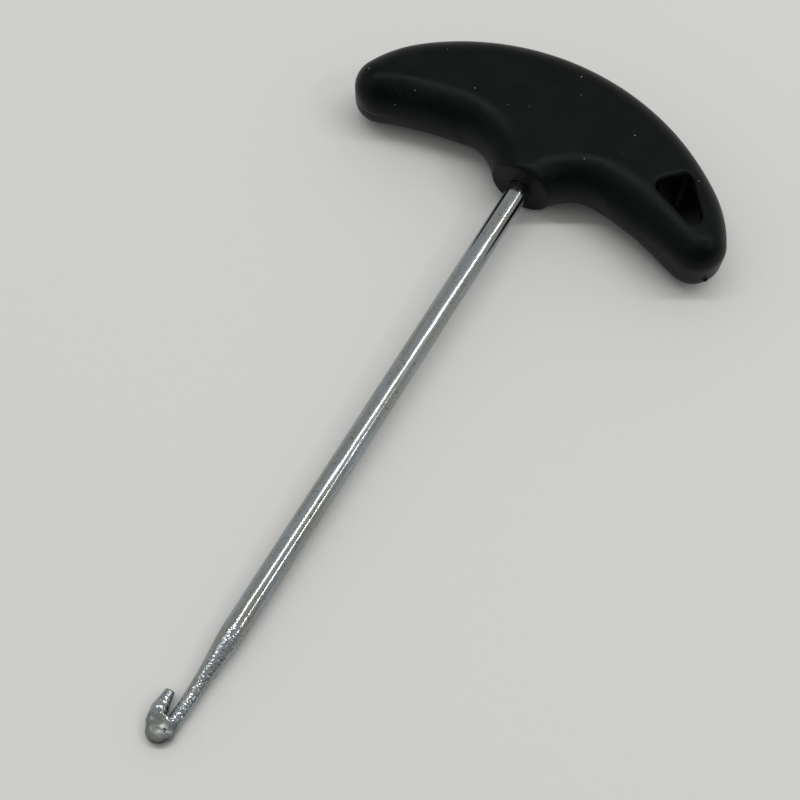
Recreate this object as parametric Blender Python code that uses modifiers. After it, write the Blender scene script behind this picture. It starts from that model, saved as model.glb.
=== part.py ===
"""T-handle hook tool: a moulded plastic crescent grip on one zinc-plated steel rod that ends in a tight hook.

The tool is modelled in its own axes, in millimetres: Y runs along the rod, with the neck face of the grip at
Y = 0, the grip on +Y and the hook on -Y. X runs across the grip, and Z is 0 at mid-thickness.
It is then laid at rest on a table at Z = 0: the ends of the grip and the start of the rod's taper touch it.
"""

import math

import bpy
from mathutils import Matrix, Vector

MM = 0.001

# Grip: plan outline, all arcs tangent to one another
THICKNESS = 19.0
EDGE_RADIUS = 7.3
GRIP_TOP_Y = 38.9
CROWN_RADIUS = 68.0
CROWN_ANGLE = 40.0
SHOULDER_RADIUS = 34.5
SHOULDER_ANGLE = 66.5
TIP_RADIUS = 7.5
UNDERARM_CENTRE_Y = -134.0
# Grip: neck
NECK_HALF_WIDTH = 8.75
NECK_FILLET_RADIUS = 14.0
NECK_RUN_ON = 3.0
NECK_TRIM_GAP = 0.05
ENTRY_RECESS_RADIUS = 4.2
ENTRY_RECESS_DEPTH = 1.2
# Grip: hanging hole, a triangle with round corners near the end on +X
HOLE_CORNERS = ((33.2, 14.2), (37.1, 18.2), (43.3, 10.2))
HOLE_CORNER_RADIUS = 2.1
# Grip: what is left of the moulding gate, on the end at +X
GATE_RADIUS = 1.1
GATE_HEIGHT = 1.2
GATE_ANGLE = -33.0

# Rod
ROD_RADIUS = 3.0
SOCKET_CLEARANCE = 0.3
ANCHOR_END_Y = 27.0
ANCHOR_WING_HALF_WIDTH = 4.6
ANCHOR_WING_HALF_THICKNESS = 1.5
ANCHOR_WING_Y = (13.0, 21.0)
TAPER_START_Y = -136.0
TAPER_END_Y = -152.0
SHANK_RADIUS = 1.9
# Hook: the shank turned back beside itself, towards -X
BEND_CENTRE_Y = -162.6
BEND_RADIUS = 2.0
BEND_WIRE_RADIUS = 1.85
LEG_MIDDLE = (-4.1, -157.0)
LEG_MIDDLE_RADIUS = 1.65
LEG_TIP = (-4.4, -154.2)
LEG_TIP_RADIUS = 1.2
WEB_TOP_Y = -159.4
WEB_HALF_THICKNESS = 1.4
COINED_HALF_THICKNESS = 1.6
COINED_START_Y = -161.0
# Shading: an edge that turns more than this many degrees stays sharp
SHARP_ANGLE = 40.0


def clear_scene():
    for thing in list(bpy.data.objects):
        bpy.data.objects.remove(thing, do_unlink=True)


def collection(name):
    made = bpy.data.collections.new(name)
    bpy.context.scene.collection.children.link(made)
    return made


def material(name, colour, metallic, roughness):
    made = bpy.data.materials.new(name)
    made.use_nodes = True
    shader = made.node_tree.nodes["Principled BSDF"]
    shader.inputs["Base Color"].default_value = (*colour, 1.0)
    shader.inputs["Metallic"].default_value = metallic
    shader.inputs["Roughness"].default_value = roughness
    return made


def heading(degrees):
    """The unit vector at this angle clockwise from +Y."""
    angle = math.radians(degrees)
    return Vector((math.sin(angle), math.cos(angle)))


def arc(centre, radius, start, end, chord_error=0.025):
    """Points on an arc between two headings, its last point left for the next arc to start with."""
    step = 2 * math.degrees(math.acos(1 - chord_error / radius))
    count = max(1, math.ceil(abs(end - start) / step))
    return [centre + radius * heading(start + (end - start) * i / count) for i in range(count)]


def heading_of(vector):
    return math.degrees(math.atan2(vector.x, vector.y))


def grip_centres():
    """The centres of the arcs on the +X side, and the radius of the arc under the arm.

    The fillet touches the arc under the arm and passes through the edge of the neck face.
    """
    crown = Vector((0, GRIP_TOP_Y - CROWN_RADIUS))
    shoulder = crown + (CROWN_RADIUS - SHOULDER_RADIUS) * heading(CROWN_ANGLE)
    tip = shoulder + (SHOULDER_RADIUS - TIP_RADIUS) * heading(SHOULDER_ANGLE)
    underarm = Vector((0, UNDERARM_CENTRE_Y))
    underarm_radius = (tip - underarm).length - TIP_RADIUS
    to_face = Vector((NECK_HALF_WIDTH, 0)) - underarm
    reach = underarm_radius - NECK_FILLET_RADIUS
    along = (reach**2 - NECK_FILLET_RADIUS**2 + to_face.length_squared) / (2 * to_face.length)
    across = math.sqrt(reach**2 - along**2)
    ahead = to_face.normalized()
    fillet = underarm + along * ahead + across * Vector((ahead.y, -ahead.x))
    return crown, shoulder, tip, underarm, underarm_radius, fillet


def neck_run_on(fillet):
    """The heading at which the fillet ends, a little past the neck face."""
    return heading_of(Vector((NECK_HALF_WIDTH, 0)) - fillet) - NECK_RUN_ON


def grip_outline():
    """The closed plan outline of the grip, its neck running on to Y = -6 so that it can be cut square."""
    crown, shoulder, tip, underarm, underarm_radius, fillet = grip_centres()
    underarm_start = heading_of(tip - underarm)
    underarm_end = heading_of(fillet - underarm)
    half = arc(crown, CROWN_RADIUS, 0, CROWN_ANGLE)
    half += arc(shoulder, SHOULDER_RADIUS, CROWN_ANGLE, SHOULDER_ANGLE)
    half += arc(tip, TIP_RADIUS, SHOULDER_ANGLE, underarm_start + 180)
    half += arc(underarm, underarm_radius, underarm_start, underarm_end)
    half += arc(fillet, NECK_FILLET_RADIUS, underarm_end, neck_run_on(fillet))
    neck_end = fillet + NECK_FILLET_RADIUS * heading(neck_run_on(fillet))
    half += [neck_end, Vector((neck_end.x, -6))]
    mirrored = [Vector((-point.x, point.y)) for point in reversed(half[1:])]
    return half + mirrored


def mesh_from_curve(name, curve):
    """A mesh object made from a curve, with its caps welded to its sides."""
    source = bpy.data.objects.new(name + "_curve", curve)
    bpy.context.scene.collection.objects.link(source)
    bpy.context.view_layer.update()
    graph = bpy.context.evaluated_depsgraph_get()
    mesh = bpy.data.meshes.new_from_object(source.evaluated_get(graph))
    bpy.data.objects.remove(source, do_unlink=True)
    mesh.name = name
    made = bpy.data.objects.new(name, mesh)
    weld = made.modifiers.new("Weld", "WELD")
    weld.merge_threshold = 0.002 * MM
    return made


def plate(name, outline, half_height, edge_radius=0.0, edge_steps=0):
    """A flat outline given height each side of Z = 0, with its top and bottom edges rounded."""
    curve = bpy.data.curves.new(name, "CURVE")
    curve.dimensions = "2D"
    curve.fill_mode = "BOTH"
    curve.extrude = (half_height - edge_radius) * MM
    curve.bevel_depth = edge_radius * MM
    curve.bevel_resolution = edge_steps
    curve.offset = -edge_radius * MM
    spline = curve.splines.new("POLY")
    spline.points.add(len(outline) - 1)
    for point, place in zip(spline.points, outline):
        point.co = (place.x * MM, place.y * MM, 0, 1)
    spline.use_cyclic_u = True
    return mesh_from_curve(name, curve)


def wire(name, stations):
    """A round bar through (x, y, radius) stations in the plane Z = 0."""
    curve = bpy.data.curves.new(name, "CURVE")
    curve.dimensions = "3D"
    curve.bevel_depth = MM
    curve.bevel_resolution = 8
    curve.use_fill_caps = True
    spline = curve.splines.new("POLY")
    spline.points.add(len(stations) - 1)
    for point, (x, y, radius) in zip(spline.points, stations):
        point.co = (x * MM, y * MM, 0, 1)
        point.radius = radius
    return mesh_from_curve(name, curve)


def turned(name, profile, steps=48):
    """A closed (radius, y) profile turned about the Y axis."""
    mesh = bpy.data.meshes.new(name)
    points = [(radius * MM, y * MM, 0) for radius, y in profile]
    edges = [(i, (i + 1) % len(points)) for i in range(len(points))]
    mesh.from_pydata(points, edges, [])
    made = bpy.data.objects.new(name, mesh)
    screw = made.modifiers.new("Screw", "SCREW")
    screw.axis = "Y"
    screw.steps = steps
    screw.render_steps = steps
    screw.use_merge_vertices = True
    screw.merge_threshold = 0.002 * MM
    return made


def rod_along_y(name, radius, start, end, steps=48):
    bpy.ops.mesh.primitive_cylinder_add(
        vertices=steps, radius=radius * MM, depth=(end - start) * MM, rotation=(math.pi / 2, 0, 0)
    )
    made = bpy.context.object
    made.name = name
    made.location.y = (start + end) / 2 * MM
    return made


def block(name, low, high):
    bpy.ops.mesh.primitive_cube_add(size=1)
    made = bpy.context.object
    made.name = name
    made.scale = [(b - a) * MM for a, b in zip(low, high)]
    made.location = [(a + b) / 2 * MM for a, b in zip(low, high)]
    return made


def place_in(home, thing):
    for old in list(thing.users_collection):
        old.objects.unlink(thing)
    home.objects.link(thing)
    return thing


def combine(target, other, operation):
    """Adds an exact Boolean, and keeps the other object in the cutters collection."""
    place_in(cutters, other)
    other.hide_render = True
    other.display_type = "WIRE"
    step = target.modifiers.new(operation.title() + "_" + other.name, "BOOLEAN")
    step.operation = operation
    step.object = other
    step.solver = "EXACT"


def neck_trimmer():
    """A ring just clear of the neck's plan outline, which takes its square corners down to a round section."""
    fillet = grip_centres()[5]
    inner = arc(fillet + Vector((NECK_TRIM_GAP, 0)), NECK_FILLET_RADIUS, neck_run_on(fillet), 0)
    top = fillet.y + NECK_FILLET_RADIUS - NECK_TRIM_GAP
    profile = [Vector((inner[0].x, -9.0))]
    profile += [point for point in inner if point.y < top]
    profile += [Vector((fillet.x, top)), Vector((fillet.x, -9.0))]
    return turned("neck_trimmer", profile)


def hole_outline():
    """The outline round three equal circles."""
    corners = [Vector(corner) for corner in HOLE_CORNERS]
    points = []
    for i, corner in enumerate(corners):
        before = corner - corners[i - 1]
        after = corners[(i + 1) % 3] - corner
        start = heading_of(before) - 90
        turn = (heading_of(after) - heading_of(before)) % 360
        points += arc(corner, HOLE_CORNER_RADIUS, start, start + turn, 0.02)
        points.append(corner + HOLE_CORNER_RADIUS * heading(start + turn))
    return points


def build_grip():
    grip = plate("handle", grip_outline(), THICKNESS / 2, EDGE_RADIUS, 6)
    tip = grip_centres()[2]
    out = heading(90 - GATE_ANGLE)
    bpy.ops.mesh.primitive_cylinder_add(vertices=20, radius=GATE_RADIUS * MM, depth=4 * MM)
    gate = bpy.context.object
    gate.name = "gate"
    gate.rotation_euler = out.to_3d().to_track_quat("Z", "Y").to_euler()
    gate.location = ((tip + (TIP_RADIUS + GATE_HEIGHT - 2) * out) * MM).to_3d()
    combine(grip, gate, "UNION")
    combine(grip, neck_trimmer(), "DIFFERENCE")
    combine(grip, block("neck_end", (-20, -12, -15), (20, 0, 15)), "DIFFERENCE")
    combine(grip, plate("hanging_hole", hole_outline(), THICKNESS), "DIFFERENCE")
    combine(grip, rod_along_y("entry_recess", ENTRY_RECESS_RADIUS, -5, ENTRY_RECESS_DEPTH), "DIFFERENCE")
    combine(grip, anchor("socket", SOCKET_CLEARANCE, -5), "DIFFERENCE")
    return grip


def anchor(name, clearance, start):
    """The end of the rod inside the grip, with its two coined wings."""
    body = rod_along_y(name, ROD_RADIUS + clearance, start, ANCHOR_END_Y + clearance)
    half = ANCHOR_WING_HALF_WIDTH + clearance
    thick = ANCHOR_WING_HALF_THICKNESS + clearance
    low, high = ANCHOR_WING_Y
    wings = block(name + "_wings", (-half, low - clearance, -thick), (half, high + clearance, thick))
    combine(body, wings, "UNION")
    return body


def hook_stations():
    """(x, y, radius) down the taper, round the bend and back up the leg."""
    stations = [(0, -100, ROD_RADIUS), (0, TAPER_START_Y, ROD_RADIUS)]
    for i in range(1, 7):
        share = i / 6
        radius = ROD_RADIUS + (SHANK_RADIUS - ROD_RADIUS) * (3 * share**2 - 2 * share**3) ** 0.8
        stations.append((0, TAPER_START_Y + (TAPER_END_Y - TAPER_START_Y) * share, radius))
    stations.append((0, BEND_CENTRE_Y + 2, BEND_WIRE_RADIUS))
    centre = Vector((-BEND_RADIUS, BEND_CENTRE_Y))
    for i in range(13):
        place = centre + BEND_RADIUS * heading(90 + 180 * i / 12)
        stations.append((place.x, place.y, BEND_WIRE_RADIUS))
    stations.append((-2 * BEND_RADIUS, WEB_TOP_Y, BEND_WIRE_RADIUS))
    stations.append((*LEG_MIDDLE, LEG_MIDDLE_RADIUS))
    stations.append((*LEG_TIP, LEG_TIP_RADIUS))
    return stations


def build_rod():
    rod = anchor("hook_rod", 0.0, -101)
    combine(rod, wire("hook", hook_stations()), "UNION")
    web = block(
        "web",
        (-2 * BEND_RADIUS, BEND_CENTRE_Y - BEND_RADIUS, -WEB_HALF_THICKNESS),
        (0, WEB_TOP_Y, WEB_HALF_THICKNESS),
    )
    combine(rod, web, "UNION")
    for side in (-1, 1):
        near, far = sorted((side * COINED_HALF_THICKNESS, side * 5))
        flat = block("coining", (-9, -172, near), (5, COINED_START_Y, far))
        combine(rod, flat, "DIFFERENCE")
    return rod


def smooth_shading():
    """A node group that shades every face smooth and keeps the sharp edges sharp."""
    group = bpy.data.node_groups.new("smooth_shading", "GeometryNodeTree")
    group.interface.new_socket("Geometry", in_out="INPUT", socket_type="NodeSocketGeometry")
    group.interface.new_socket("Geometry", in_out="OUTPUT", socket_type="NodeSocketGeometry")
    start = group.nodes.new("NodeGroupInput")
    end = group.nodes.new("NodeGroupOutput")
    smooth = group.nodes.new("GeometryNodeSetShadeSmooth")
    creases = group.nodes.new("GeometryNodeSetShadeSmooth")
    creases.domain = "EDGE"
    creases.inputs["Shade Smooth"].default_value = False
    angle = group.nodes.new("GeometryNodeInputMeshEdgeAngle")
    compare = group.nodes.new("FunctionNodeCompare")
    compare.operation = "GREATER_THAN"
    compare.inputs["B"].default_value = math.radians(SHARP_ANGLE)
    group.links.new(angle.outputs["Unsigned Angle"], compare.inputs["A"])
    group.links.new(compare.outputs["Result"], creases.inputs["Selection"])
    group.links.new(start.outputs["Geometry"], smooth.inputs["Geometry"])
    group.links.new(smooth.outputs["Geometry"], creases.inputs["Geometry"])
    group.links.new(creases.outputs["Geometry"], end.inputs["Geometry"])
    return group


def rest_matrix():
    """Tilts the tool about X until the grip's ends and the start of the taper are level, and lifts it to Z = 0."""
    tip_y = grip_centres()[2].y
    core = THICKNESS / 2 - EDGE_RADIUS
    reach = math.hypot(tip_y - TAPER_START_Y, ROD_RADIUS - core)
    tilt = math.asin(EDGE_RADIUS / reach) - math.atan2(ROD_RADIUS - core, tip_y - TAPER_START_Y)
    lift = ROD_RADIUS * math.cos(tilt) - TAPER_START_Y * math.sin(tilt)
    return Matrix.Translation((0, 0, lift * MM)) @ Matrix.Rotation(tilt, 4, "X")


def middle_of(pieces):
    """The centre of the pieces' bounding box, in X and Y."""
    bpy.context.view_layer.update()
    graph = bpy.context.evaluated_depsgraph_get()
    corners = []
    for piece in pieces:
        ready = piece.evaluated_get(graph)
        corners += [ready.matrix_world @ vertex.co for vertex in ready.to_mesh().vertices]
        ready.to_mesh_clear()
    return [(max(c[i] for c in corners) + min(c[i] for c in corners)) / 2 for i in (0, 1)]


clear_scene()
tool = collection("t_handle_hook_tool")
cutters = collection("cutters")
cutters.hide_render = True

handle = place_in(tool, build_grip())
handle.data.materials.clear()
handle.data.materials.append(material("black_plastic", (0.012, 0.012, 0.013), 0.0, 0.5))
hook_rod = place_in(tool, build_rod())
hook_rod.data.materials.append(material("zinc_plate", (0.62, 0.65, 0.68), 1.0, 0.3))
shading = smooth_shading()
for thing in (handle, hook_rod):
    thing.modifiers.new("Smooth_shading", "NODES").node_group = shading

tool_axes = bpy.data.objects.new("tool_axes", None)
tool.objects.link(tool_axes)
for thing in (handle, hook_rod, *cutters.objects):
    thing.parent = tool_axes
tool_axes.matrix_world = rest_matrix()
middle = middle_of((handle, hook_rod))
tool_axes.location.x -= middle[0]
tool_axes.location.y -= middle[1]
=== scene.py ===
"""Looks of the T-handle hook tool: a moulded plastic grip and a plated steel rod.

Both pieces are meshed from distance fields in the tool's own axes, in millimetres. Y runs along the
rod, with the neck face of the grip at Y = 0, the grip on +Y and the hook on -Y. X runs across the
grip, and Z is 0 at mid-thickness. TOOL then lays them where the CAD model lies.
"""

import math

import bpy
import numpy as np
from mathutils import Matrix, Vector


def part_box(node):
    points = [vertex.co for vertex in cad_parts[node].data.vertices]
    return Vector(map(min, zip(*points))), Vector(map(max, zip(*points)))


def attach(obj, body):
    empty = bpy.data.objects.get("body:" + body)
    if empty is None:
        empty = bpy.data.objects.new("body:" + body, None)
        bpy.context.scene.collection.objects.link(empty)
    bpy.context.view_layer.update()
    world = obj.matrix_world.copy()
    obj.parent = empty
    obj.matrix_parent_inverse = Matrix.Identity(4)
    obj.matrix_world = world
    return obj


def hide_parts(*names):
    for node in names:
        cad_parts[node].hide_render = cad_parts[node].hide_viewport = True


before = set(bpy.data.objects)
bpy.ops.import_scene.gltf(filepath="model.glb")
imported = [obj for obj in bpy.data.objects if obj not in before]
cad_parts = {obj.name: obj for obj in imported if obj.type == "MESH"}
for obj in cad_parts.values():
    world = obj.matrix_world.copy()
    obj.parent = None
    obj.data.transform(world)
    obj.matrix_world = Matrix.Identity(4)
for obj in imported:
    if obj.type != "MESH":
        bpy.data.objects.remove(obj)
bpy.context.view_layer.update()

MM = 0.001

# Grip, in millimetres and degrees
THICKNESS = 19.0
EDGE_RADIUS = 7.3
GRIP_TOP_Y = 38.9
CROWN_RADIUS, CROWN_ANGLE = 68.0, 40.0
SHOULDER_RADIUS, SHOULDER_ANGLE = 34.5, 66.5
TIP_RADIUS = 7.5
UNDERARM_CENTRE_Y = -134.0
NECK_HALF_WIDTH = 8.75
NECK_FILLET_RADIUS = 14.0
SOCKET_GAP = 0.05
# The edges under the arms are rounder by this much
UNDERARM_EXTRA_RADIUS = 1.8
# Below mid-thickness the outline beside the neck is tucked in towards the crown
TUCK = 1.1
# The end of the arm on +X reaches further in X and lower in Y
DROOP = (1.0, 0.6)
DROOP_FROM, DROOP_TO = 32.0, 52.0
# The neck's shaping fades out between these distances from the middle
ARM_FROM, ARM_TO = 20.0, 30.0
HOLE_DRAFT = 2.5
HOLE_RIM_ROUNDING = 1.5
HOLE_CORNERS = ((33.2, 14.2), (37.1, 18.2), (43.3, 10.2))
HOLE_CORNER_RADIUS = 2.1
GATE_RADIUS, GATE_REACH, GATE_LENGTH = 0.6, 8.1, 4.0
GATE_ANGLE, GATE_Z = -40.0, -2.0
GRIP_LOW, GRIP_HIGH = (-55.05, -3.0, -9.9), (57.4, 39.5, 9.9)
GRIP_STEP = 0.3

# Rod, in millimetres
ROD_RADIUS = 3.0
ROD_END_Y = 27.0
TAPER_START_Y, TAPER_END_Y = -136.0, -152.0
SHANK_RADIUS = 1.9
BEND_CENTRE_Y = -162.8
BEND_RADIUS = 1.6
BEND_WIRE_RADIUS = 1.75
LEG_FOOT, LEG_FOOT_RADIUS = (-3.85, -161.6), 2.05
LEG_MIDDLE, LEG_MIDDLE_RADIUS = (-4.5, -158.8), 1.95
LEG_TIP = (-4.95, -154.2)
# The leg narrows towards a point beyond its cut end
LEG_POINT, LEG_POINT_RADIUS = (-5.15, -152.2), 0.75
LEG_CUT_SLOPE = 0.1
WEB_TOP_Y, WEB_HALF_THICKNESS = -159.4, 1.6
# Place and radius of each dent in the upper face of the bend
DENTS = ((-0.5, -162.4, 0.4), (-1.3, -164.9, 0.28))
# The bend is pressed flat: it thins slowly beyond the start, and the flats run out fast before it
COINED_HALF_THICKNESS, COINED_START_Y = 1.7, -161.2
COINED_SLOPE, COINED_RUN_OUT = 0.09, 0.25
LEAN, KICK = 0.0027, 0.32
KICK_FROM, KICK_TO = 154.0, 163.0
ROD_LOW, ROD_HIGH = (-7.05, -167.1, -3.375), (3.9, 27.5, 3.375)
ROD_STEP = 0.15


# ---- distance fields ----

def smooth_max(a, b, k):
    """The larger of two distances, rounded over a width k where they meet."""
    blend = np.maximum(k - np.abs(a - b), 0) / k
    return np.maximum(a, b) + blend * blend * k / 4


def smooth_min(a, b, k):
    return -smooth_max(-a, -b, k)


def heading(degrees):
    angle = math.radians(degrees)
    return Vector((math.sin(angle), math.cos(angle)))


def heading_of(vector):
    return math.degrees(math.atan2(vector.x, vector.y))


def grip_arcs():
    """The arcs of the grip's plan outline on +X.

    Each has a centre, a radius, its first and last heading, and 1 where it bulges out or -1.
    """
    crown = Vector((0, GRIP_TOP_Y - CROWN_RADIUS))
    shoulder = crown + (CROWN_RADIUS - SHOULDER_RADIUS) * heading(CROWN_ANGLE)
    tip = shoulder + (SHOULDER_RADIUS - TIP_RADIUS) * heading(SHOULDER_ANGLE)
    under = Vector((0, UNDERARM_CENTRE_Y))
    under_radius = (tip - under).length - TIP_RADIUS
    face_edge = Vector((NECK_HALF_WIDTH, 0))
    to_face = face_edge - under
    reach = under_radius - NECK_FILLET_RADIUS
    along = (reach**2 - NECK_FILLET_RADIUS**2 + to_face.length_squared) / (2 * to_face.length)
    turned = Vector((to_face.y, -to_face.x)).normalized()
    fillet = under + along * to_face.normalized() + math.sqrt(reach**2 - along**2) * turned
    under_start, under_end = heading_of(tip - under), heading_of(fillet - under)
    return (
        (crown, CROWN_RADIUS, 0, CROWN_ANGLE, 1),
        (shoulder, SHOULDER_RADIUS, CROWN_ANGLE, SHOULDER_ANGLE, 1),
        (tip, TIP_RADIUS, SHOULDER_ANGLE, under_start + 180, 1),
        (under, under_radius, under_end, under_start, -1),
        (fillet, NECK_FILLET_RADIUS, heading_of(face_edge - fillet), under_end, -1),
    )


GRIP_ARCS = grip_arcs()
GRIP_TIP = GRIP_ARCS[2][0]
UNDERARM_RADIUS = GRIP_ARCS[3][1]


def plan_distance(x, y):
    """Signed distance to the grip's plan outline, whose neck runs on below Y = 0."""
    x = np.abs(x)
    nearest = np.hypot(x - NECK_HALF_WIDTH, np.maximum(y, 0))
    signed = np.where(x < NECK_HALF_WIDTH, -nearest, nearest)
    for centre, radius, start, end, bulge in GRIP_ARCS:
        dx, dy = x - centre.x, y - centre.y
        middle, half = math.radians((start + end) / 2), math.radians((end - start) / 2)
        turn = (np.arctan2(dx, dy) - middle + math.pi) % (2 * math.pi) - math.pi
        angle = middle + np.clip(turn, -half, half)
        reach = np.hypot(dx - radius * np.sin(angle), dy - radius * np.cos(angle))
        side = bulge * np.where(np.hypot(dx, dy) < radius, -1, 1)
        closer = reach < nearest
        nearest = np.where(closer, reach, nearest)
        signed = np.where(closer, side * reach, signed)
    return signed


def hole_distance(x, y):
    """Signed distance to the hanging hole, a triangle with round corners."""
    outside = np.full(np.shape(x), np.inf)
    inside = np.full(np.shape(x), -np.inf)
    for i, (ax, ay) in enumerate(HOLE_CORNERS):
        bx, by = HOLE_CORNERS[(i + 1) % 3]
        ex, ey = bx - ax, by - ay
        length = math.hypot(ex, ey)
        along = ((x - ax) * ex + (y - ay) * ey) / length**2
        near = np.clip(along, 0, 1)
        outside = np.minimum(outside, np.hypot(x - ax - near * ex, y - ay - near * ey))
        inside = np.maximum(inside, ((y - ay) * ex - (x - ax) * ey) / length)
    return np.where(inside < 0, np.maximum(inside, -outside), outside) - HOLE_CORNER_RADIUS


def smooth_step(value, low, high):
    share = np.clip((value - low) / (high - low), 0, 1)
    return share * share * (3 - 2 * share)


def underarm_share(x, y):
    """0 in the half of the grip towards the crown, rising to 1 in the half towards the rod."""
    above = np.hypot(x, y - UNDERARM_CENTRE_Y) - UNDERARM_RADIUS
    below = CROWN_RADIUS - np.hypot(x, y - GRIP_TOP_Y + CROWN_RADIUS)
    return smooth_step(below / np.maximum(above + below, 1), 0.4, 0.75)


def gate_distance(x, y, z):
    """The round stub left by the moulding gate, in the end of the arm on +X."""
    out = heading(90 - GATE_ANGLE)
    dx, dy = x - GRIP_TIP.x - DROOP[0], y - GRIP_TIP.y + DROOP[1]
    middle = GATE_REACH - GATE_LENGTH / 2
    along = np.abs(dx * out.x + dy * out.y - middle) - GATE_LENGTH / 2
    across = np.hypot(dx * out.y - dy * out.x, z - GATE_Z) - GATE_RADIUS
    return smooth_max(across, along, 0.3)


def grip_distance(x, y, z):
    droop = smooth_step(x, DROOP_FROM, DROOP_TO)
    under = underarm_share(x, y)
    tuck = TUCK * under * smooth_step(-z, 0, 6) * smooth_step(-np.abs(x), -22, -13)
    plan = plan_distance(x - DROOP[0] * droop, y + DROOP[1] * droop - tuck)
    rounder = under * smooth_step(-np.abs(x + 4), -48, -34)
    radius = EDGE_RADIUS + UNDERARM_EXTRA_RADIUS * rounder
    side, face = plan + radius, np.abs(z) - (THICKNESS / 2 - radius)
    outside = np.hypot(np.maximum(side, 0), np.maximum(face, 0))
    body = outside + np.minimum(np.maximum(side, face), 0) - radius
    arm = 5 * smooth_step(np.abs(x), ARM_FROM, ARM_TO)
    body = smooth_max(body, plan_distance(np.hypot(x, z), y) - arm, 1.0)
    body = smooth_min(body, gate_distance(x, y, z), 0.3)
    body = smooth_max(body, -y - arm, 0.5)
    hole = hole_distance(x, y) + (THICKNESS / 2 - z) * math.tan(math.radians(HOLE_DRAFT))
    body = smooth_max(body, -hole, HOLE_RIM_ROUNDING)
    socket = smooth_max(np.hypot(x, z) - ROD_RADIUS - SOCKET_GAP, y - ROD_END_Y - 0.3, 0.1)
    return smooth_max(body, -socket, 0.06)


def rod_radius(y):
    share = np.clip((TAPER_START_Y - y) / (TAPER_START_Y - TAPER_END_Y), 0, 1)
    taper = (3 * share**2 - 2 * share**3) ** 0.8
    end = np.clip((TAPER_END_Y - y) / (TAPER_END_Y - BEND_CENTRE_Y), 0, 1)
    return ROD_RADIUS + (SHANK_RADIUS - ROD_RADIUS) * taper + (BEND_WIRE_RADIUS - SHANK_RADIUS) * end


def bar_distance(x, y, z, start, end, start_radius, end_radius):
    """Signed distance to a tapering round bar between two points at Z = 0."""
    ex, ey = end[0] - start[0], end[1] - start[1]
    share = np.clip(((x - start[0]) * ex + (y - start[1]) * ey) / (ex**2 + ey**2), 0, 1)
    reach = np.sqrt((x - start[0] - share * ex) ** 2 + (y - start[1] - share * ey) ** 2 + z**2)
    return reach - start_radius - share * (end_radius - start_radius)


def box_distance(x, y, z, centre, half):
    parts = [np.abs(value - middle) - size for value, middle, size in zip((x, y, z), centre, half)]
    outside = np.sqrt(sum(np.maximum(part, 0) ** 2 for part in parts))
    return outside + np.minimum(np.maximum(np.maximum(parts[0], parts[1]), parts[2]), 0)


def sway(y):
    """How far the rod leans towards +X outside the grip, and the hook kicks back."""
    return LEAN * np.maximum(-y, 0) - KICK * smooth_step(-y, KICK_FROM, KICK_TO)


def leg_distance(x, y, z):
    leg = bar_distance(x, y, z, LEG_FOOT, LEG_MIDDLE, LEG_FOOT_RADIUS, LEG_MIDDLE_RADIUS)
    tip = bar_distance(x, y, z, LEG_MIDDLE, LEG_POINT, LEG_MIDDLE_RADIUS, LEG_POINT_RADIUS)
    cut = y - LEG_TIP[1] - LEG_CUT_SLOPE * (x - LEG_TIP[0])
    return smooth_max(smooth_min(leg, tip, 0.3), cut, 0.35)


def rod_distance(x, y, z):
    x = x - sway(y)
    straight = np.hypot(x, z) - rod_radius(y)
    straight = smooth_max(straight, BEND_CENTRE_Y - 0.7 - y, 0.2)
    straight = smooth_max(straight, y - ROD_END_Y, 0.4)
    ring = np.hypot(x + BEND_RADIUS, y - BEND_CENTRE_Y) - BEND_RADIUS
    bend = smooth_max(np.hypot(ring, z) - BEND_WIRE_RADIUS, y - BEND_CENTRE_Y - 0.5, 0.2)
    hook = smooth_min(smooth_min(straight, bend, 0.8), leg_distance(x, y, z), 0.35)
    web_foot_y = BEND_CENTRE_Y - BEND_RADIUS
    web_centre = (-BEND_RADIUS, (WEB_TOP_Y + web_foot_y) / 2, 0)
    web_half = (BEND_RADIUS, (WEB_TOP_Y - web_foot_y) / 2, WEB_HALF_THICKNESS)
    hook = smooth_min(hook, box_distance(x, y, z, web_centre, web_half), 0.6)
    before = y - COINED_START_Y
    coined = COINED_HALF_THICKNESS + np.clip(before * COINED_RUN_OUT, 0, 3)
    coined = coined + np.minimum(before, 0) * COINED_SLOPE
    hook = smooth_max(hook, np.abs(z) - coined, 0.6)
    for dent_x, dent_y, radius in DENTS:
        reach = np.sqrt((x - dent_x) ** 2 + (y - dent_y) ** 2 + (z - COINED_HALF_THICKNESS) ** 2)
        hook = smooth_max(hook, radius - reach, 0.15)
    return hook


# ---- meshing ----

CORNERS = [(i, j, k) for i in (0, 1) for j in (0, 1) for k in (0, 1)]


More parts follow.
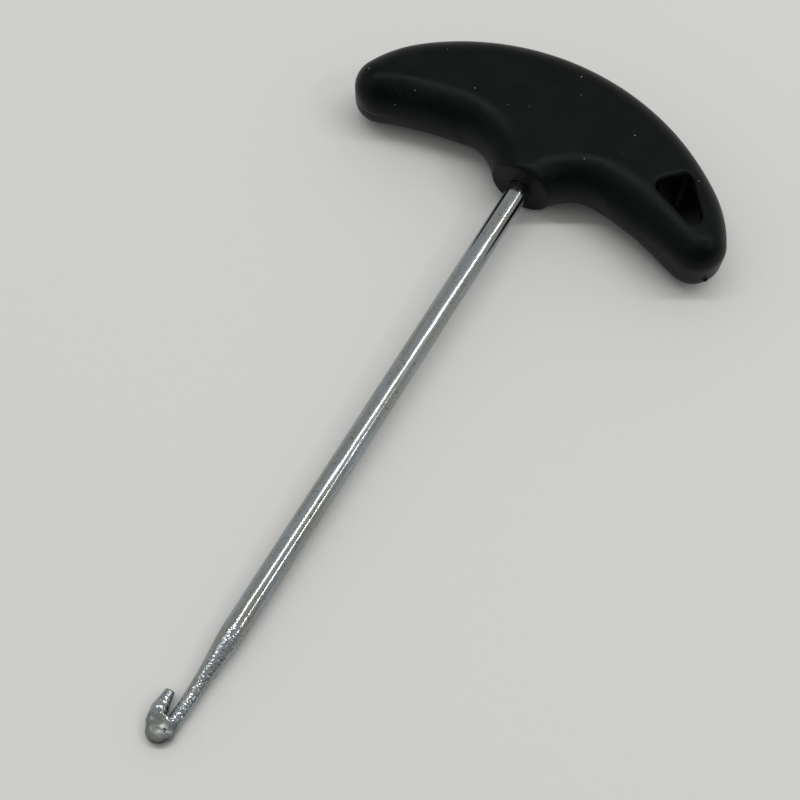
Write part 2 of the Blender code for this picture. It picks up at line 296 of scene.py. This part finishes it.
def surface_net(distance, low, high, step):
    """Points and quads of the zero surface of a distance field, by surface nets.

    A few Newton steps then draw the points onto the surface.
    """
    axes = [np.arange(a, b + step, step) for a, b in zip(low, high)]
    field = distance(*np.meshgrid(*axes, indexing="ij"))
    inside = field < 0
    sizes = [n - 1 for n in field.shape]

    def at(values, corner):
        return values[tuple(slice(c, c + n) for c, n in zip(corner, sizes))]

    count = sum(at(inside, corner).astype(np.int8) for corner in CORNERS)
    cells = np.argwhere((count > 0) & (count < 8))
    index = np.full(sizes, -1)
    index[tuple(cells.T)] = np.arange(len(cells))
    total = np.zeros((len(cells), 3))
    crossings = np.zeros(len(cells))
    for axis in range(3):
        for corner in CORNERS:
            if corner[axis]:
                continue
            start = cells + corner
            end = start.copy()
            end[:, axis] += 1
            a, b = field[tuple(start.T)], field[tuple(end.T)]
            crosses = (a < 0) != (b < 0)
            share = np.where(crosses, a / np.where(crosses, a - b, 1), 0)
            place = np.array(corner, float) + share[:, None] * np.eye(3)[axis]
            total += np.where(crosses[:, None], place, 0)
            crossings += crosses
    points = (cells + total / crossings[:, None]) * step + np.array(low)
    quads = []
    for axis in range(3):
        u, v = (axis + 1) % 3, (axis + 2) % 3
        first = np.moveaxis(inside, axis, 0)
        changed = first[:-1] != first[1:]
        edges = np.argwhere(np.moveaxis(changed, 0, axis))
        edges = edges[(edges[:, u] > 0) & (edges[:, v] > 0)]
        edges = edges[(edges[:, u] < sizes[u]) & (edges[:, v] < sizes[v])]
        ring = []
        for du, dv in ((1, 1), (0, 1), (0, 0), (1, 0)):
            cell = edges.copy()
            cell[:, u] -= du
            cell[:, v] -= dv
            ring.append(index[tuple(cell.T)])
        ring = np.stack(ring, 1)
        outward = inside[tuple(edges.T)]
        quads.append(np.where(outward[:, None], ring, ring[:, ::-1]))
    for _ in range(3):
        value, slope = distance(*points.T), gradient(distance, points)
        points -= (value / (slope**2).sum(1))[:, None] * slope
    return points, np.concatenate(quads)


def gradient(distance, points, reach=0.02):
    parts = []
    for axis in range(3):
        shift = np.eye(3)[axis] * reach
        parts.append((distance(*(points + shift).T) - distance(*(points - shift).T)) / (2 * reach))
    return np.stack(parts, 1)


def new_piece(name, distance, low, high, step):
    points, quads = surface_net(distance, low, high, step)
    mesh = bpy.data.meshes.new(name)
    mesh.from_pydata((points * MM).tolist(), [], quads.tolist())
    mesh.transform(TOOL)
    mesh.polygons.foreach_set("use_smooth", [True] * len(mesh.polygons))
    mesh.update()
    made = bpy.data.objects.new(name, mesh)
    bpy.context.scene.collection.objects.link(made)
    return made


def tool_place():
    """The tool's axes at rest: the grip's ends and the start of the taper touch the floor."""
    core = THICKNESS / 2 - EDGE_RADIUS
    run = GRIP_TIP.y - TAPER_START_Y
    rise = ROD_RADIUS - core
    tilt = math.asin(EDGE_RADIUS / math.hypot(run, rise)) - math.atan2(rise, run)
    lift = ROD_RADIUS * math.cos(tilt) - TAPER_START_Y * math.sin(tilt)
    crown = (GRIP_TOP_Y - EDGE_RADIUS) * math.cos(tilt) + core * math.sin(tilt) + EDGE_RADIUS
    place = (0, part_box("handle")[1].y - crown * MM, lift * MM)
    return Matrix.Translation(place) @ Matrix.Rotation(tilt, 4, "X")


TOOL = tool_place()


# ---- pieces ----

grip = new_piece("grip", grip_distance, GRIP_LOW, GRIP_HIGH, GRIP_STEP)
rod = new_piece("rod", rod_distance, ROD_LOW, ROD_HIGH, ROD_STEP)


# ---- materials ----

BLACK = (0.0016, 0.0021, 0.0018)
BLACK_PATCH = (0.0026, 0.0034, 0.003)
DULL_FILM = (0.006, 0.0066, 0.006)
# A lighter grey along the mould seam: a painted highlight on its ridge
PAINTED_SEAM_HIGHLIGHT = (0.06, 0.063, 0.06)
DUST = (0.4, 0.4, 0.36)
OLIVE_ZINC = (0.34, 0.35, 0.32)
BLUE_ZINC = (0.37, 0.41, 0.44)
DRAW_MARK = (0.2, 0.22, 0.22)
PIT = (0.1, 0.09, 0.06)
# A darker tone for the pressed bend: painted shade, standing in for the darker reflection the bend
# shows
BEND_PAINTED_SHADE = (0.17, 0.18, 0.16)


def add(tree, kind, inputs, **settings):
    """A shader node, its inputs given by value or by the socket to link."""
    made = tree.nodes.new("ShaderNode" + kind)
    for key, value in settings.items():
        setattr(made, key, value)
    for key, value in inputs.items():
        if isinstance(value, bpy.types.NodeSocket):
            tree.links.new(value, made.inputs[key])
        else:
            made.inputs[key].default_value = value
    return made


def tool_coordinates(tree):
    """Millimetres in the tool's own axes."""
    point = add(tree, "TexCoord", {}).outputs["Object"]
    turn = TOOL.to_euler()
    moved = {"Vector": point, "Location": TOOL.translation, "Rotation": turn, "Scale": (MM, MM, MM)}
    return add(tree, "Mapping", moved, vector_type="TEXTURE").outputs["Vector"]


def stretched(tree, point, shares):
    return add(tree, "VectorMath", {0: point, 1: shares}, operation="MULTIPLY").outputs["Vector"]


def noise(tree, point, scale, detail):
    return add(tree, "TexNoise", {"Vector": point, "Scale": scale, "Detail": detail}).outputs["Fac"]


def ramp(tree, value, low, high, start=0.0, end=1.0):
    ends = {"Value": value, "From Min": low, "From Max": high, "To Min": start, "To Max": end}
    return add(tree, "MapRange", ends, interpolation_type="SMOOTHSTEP").outputs["Result"]


def maths(tree, operation, a, b=0.0):
    return add(tree, "Math", {0: a, 1: b}, operation=operation).outputs["Value"]


def tint(tree, share, a, b):
    """From colour a to colour b by the share."""
    ends = {0: share}
    for socket, colour in ((6, a), (7, b)):
        ends[socket] = (*colour, 1) if isinstance(colour, tuple) else colour
    return add(tree, "Mix", ends, data_type="RGBA").outputs[2]


def bump(tree, height, depth, below=None):
    """A bump whose full height is depth millimetres, over another bump if there is one."""
    inputs = {"Height": height, "Distance": depth * MM, "Strength": 1.0}
    if below:
        inputs["Normal"] = below
    return add(tree, "Bump", inputs).outputs["Normal"]


def new_material(name, metallic, specular):
    made = bpy.data.materials.new(name)
    made.use_nodes = True
    shader = made.node_tree.nodes["Principled BSDF"]
    shader.inputs["Metallic"].default_value = metallic
    shader.inputs["Specular IOR Level"].default_value = specular
    return made, made.node_tree, shader


def finish_material(tree, shader, colour, roughness, normal):
    for socket, value in (("Base Color", colour), ("Roughness", roughness), ("Normal", normal)):
        tree.links.new(value, shader.inputs[socket])


def black_plastic():
    """Moulded black plastic: a fine grain, a mould seam round the end on -X with a painted highlight
    along it, and a little dust.
    """
    made, tree, shader = new_material("black_plastic", 0, 0.125)
    shader.inputs["Specular Tint"].default_value = (0.82, 1, 0.88, 1)
    point = tool_coordinates(tree)
    grain = noise(tree, point, 2.0, 3)
    patches = noise(tree, point, 0.11, 3)
    axes = add(tree, "SeparateXYZ", {0: point})
    height = maths(tree, "ABSOLUTE", axes.outputs["Z"])
    line = ramp(tree, height, 0.24, 0.1)
    # The seam at mid-height round the end on -X: a ridge in the bump, and a painted highlight in the
    # colour
    seam_and_highlight = maths(tree, "MULTIPLY", line, ramp(tree, axes.outputs["X"], -36, -46))
    dust = add(tree, "TexVoronoi", {"Vector": point, "Scale": 0.24})
    near = ramp(tree, dust.outputs["Distance"], 0.06, 0.03)
    speck = maths(tree, "MULTIPLY", near, dust.outputs["Color"])
    film = ramp(tree, noise(tree, point, 0.5, 5), 0.42, 0.72)
    colour = tint(tree, ramp(tree, patches, 0.35, 0.65), BLACK, BLACK_PATCH)
    colour = tint(tree, maths(tree, "MULTIPLY", film, 0.35), colour, DULL_FILM)
    # Painted highlight along the seam
    colour = tint(tree, seam_and_highlight, colour, PAINTED_SEAM_HIGHLIGHT)
    colour = tint(tree, speck, colour, DUST)
    roughness = ramp(tree, patches, 0.3, 0.7, 0.31, 0.39)
    roughness = maths(tree, "ADD", roughness, maths(tree, "MULTIPLY", grain, 0.06))
    waves = bump(tree, noise(tree, point, 0.16, 1), 0.05)
    seam = bump(tree, seam_and_highlight, 0.05, waves)
    finish_material(tree, shader, colour, roughness, bump(tree, grain, 0.022, seam))
    return made


def zinc_plate():
    """Zinc plate over drawn wire, hammered towards the hook, with bluish and olive stains, and painted
    shade darkening the pressed bend.
    """
    made, tree, shader = new_material("zinc_plate", 1, 0.5)
    point = tool_coordinates(tree)
    along = add(tree, "SeparateXYZ", {0: point}).outputs["Y"]
    draw = noise(tree, stretched(tree, point, (1, 0.05, 1)), 2.6, 4)
    pits = noise(tree, stretched(tree, point, (1, 0.7, 1)), 2.6, 0)
    coined = ramp(tree, along, -159, -161.5)
    hammered = ramp(tree, along, -128, -142, 0.06, 1)
    worked = maths(tree, "MULTIPLY", hammered, ramp(tree, coined, 0, 1, 1, 0.15))
    stains = noise(tree, stretched(tree, point, (1, 0.12, 1)), 0.55, 3)
    colour = tint(tree, ramp(tree, stains, 0.38, 0.62), OLIVE_ZINC, BLUE_ZINC)
    colour = tint(tree, ramp(tree, draw, 0.35, 0.7, 0, 0.35), colour, DRAW_MARK)
    dark = maths(tree, "MULTIPLY", ramp(tree, pits, 0.36, 0.24), 0.6)
    colour = tint(tree, dark, colour, PIT)
    # Painted shade: the pressed bend is darkened to stand in for the darker reflection it shows
    colour = tint(tree, maths(tree, "MULTIPLY", coined, 0.65), colour, BEND_PAINTED_SHADE)
    drawn = ramp(tree, draw, 0.3, 0.75, 0.1, 0.2)
    roughness = maths(tree, "ADD", drawn, maths(tree, "MULTIPLY", coined, 0.2))
    roughness = maths(tree, "SUBTRACT", roughness, ramp(tree, along, -126, -138, 0, 0.07))
    lines = bump(tree, draw, 0.012)
    hammer = bump(tree, maths(tree, "MULTIPLY", pits, worked), 0.1, lines)
    finish_material(tree, shader, colour, roughness, hammer)
    return made


def floor_card():
    made, tree, shader = new_material("floor_card", 0, 0.16)
    point = tool_coordinates(tree)
    fibres = noise(tree, point, 1.2, 4)
    colour = tint(tree, fibres, (0.825, 0.825, 0.802), (0.845, 0.845, 0.822))
    roughness = ramp(tree, fibres, 0.3, 0.7, 0.85, 0.95)
    finish_material(tree, shader, colour, roughness, bump(tree, fibres, 0.01))
    return made


grip.data.materials.append(black_plastic())
rod.data.materials.append(zinc_plate())

# ---- floor, light and camera ----

FLOOR_HALF_WIDTH = 3.0
floor_mesh = bpy.data.meshes.new("floor")
ways = ((-1, -1), (1, -1), (1, 1), (-1, 1))
corners = [(x * FLOOR_HALF_WIDTH, y * FLOOR_HALF_WIDTH, 0) for x, y in ways]
floor_mesh.from_pydata(corners, [], [(0, 1, 2, 3)])
floor = bpy.data.objects.new("floor", floor_mesh)
bpy.context.scene.collection.objects.link(floor)
floor.data.materials.append(floor_card())

# The camera's turn and downward look in degrees, and its place in the tool's axes in millimetres
VIEW_YAW = 30.85
VIEW_DOWN = 67.88
LENS = 60.75
CAMERA_AT = (67.4, -174.05, 305.8)
LAMP_HEIGHT = 1.5
# The room is darkest behind the camera and lightest beyond the tool
ROOM_DARK, ROOM_LIGHT = 0.15, 0.54

ahead = Vector((-math.sin(math.radians(VIEW_YAW)), math.cos(math.radians(VIEW_YAW)), 0))
right = Vector((math.cos(math.radians(VIEW_YAW)), math.sin(math.radians(VIEW_YAW)), 0))
forward = ahead * math.cos(math.radians(VIEW_DOWN)) - Vector((0, 0, math.sin(math.radians(VIEW_DOWN))))
axes = Matrix((right, right.cross(forward), -forward)).transposed().to_4x4()
camera_data = bpy.data.cameras.new("camera")
camera_data.lens = LENS
camera_data.sensor_width = 36
camera_data.clip_start = 0.01
camera = bpy.data.objects.new("camera", camera_data)
camera.matrix_world = TOOL @ Matrix.Translation(Vector(CAMERA_AT) * MM) @ axes
bpy.context.scene.collection.objects.link(camera)
bpy.context.scene.camera = camera


def lamp(name, across, beyond, length, width, turn, power):
    """A lamp at LAMP_HEIGHT facing down.

    Its place and size are shares of that height, in the view's directions.
    """
    data = bpy.data.lights.new(name, "AREA")
    data.shape = "RECTANGLE"
    data.size = length * LAMP_HEIGHT
    data.size_y = width * LAMP_HEIGHT
    data.energy = power
    made = bpy.data.objects.new(name, data)
    place = TOOL.translation + LAMP_HEIGHT * (right * across + ahead * beyond)
    made.location = (place.x, place.y, LAMP_HEIGHT)
    made.rotation_euler = (0, 0, math.radians(VIEW_YAW + turn))
    bpy.context.scene.collection.objects.link(made)


lamp("tube_beyond", 0.15, 0.13, 1.6, 0.04, 0, 8.2)
lamp("tube_right", 0.85, -0.33, 0.4, 0.03, 50, 2.4)
world = bpy.data.worlds.new("room")
world.use_nodes = True
room = world.node_tree
direction = add(room, "TexCoord", {}).outputs["Generated"]
depth = add(room, "VectorMath", {0: direction, 1: ahead}, operation="DOT_PRODUCT").outputs["Value"]
brightness = ramp(room, depth, -0.85, -0.15, ROOM_DARK, ROOM_LIGHT)
room.links.new(brightness, room.nodes["Background"].inputs["Color"])
bpy.context.scene.world = world
bpy.context.scene.view_settings.view_transform = "Standard"

# ---- hand over ----

for piece, node, slot in ((grip, "handle", "grip_plastic"), (rod, "hook_rod", "plated_steel")):
    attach(piece, "root")
    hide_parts(node)
bpy.context.view_layer.update()
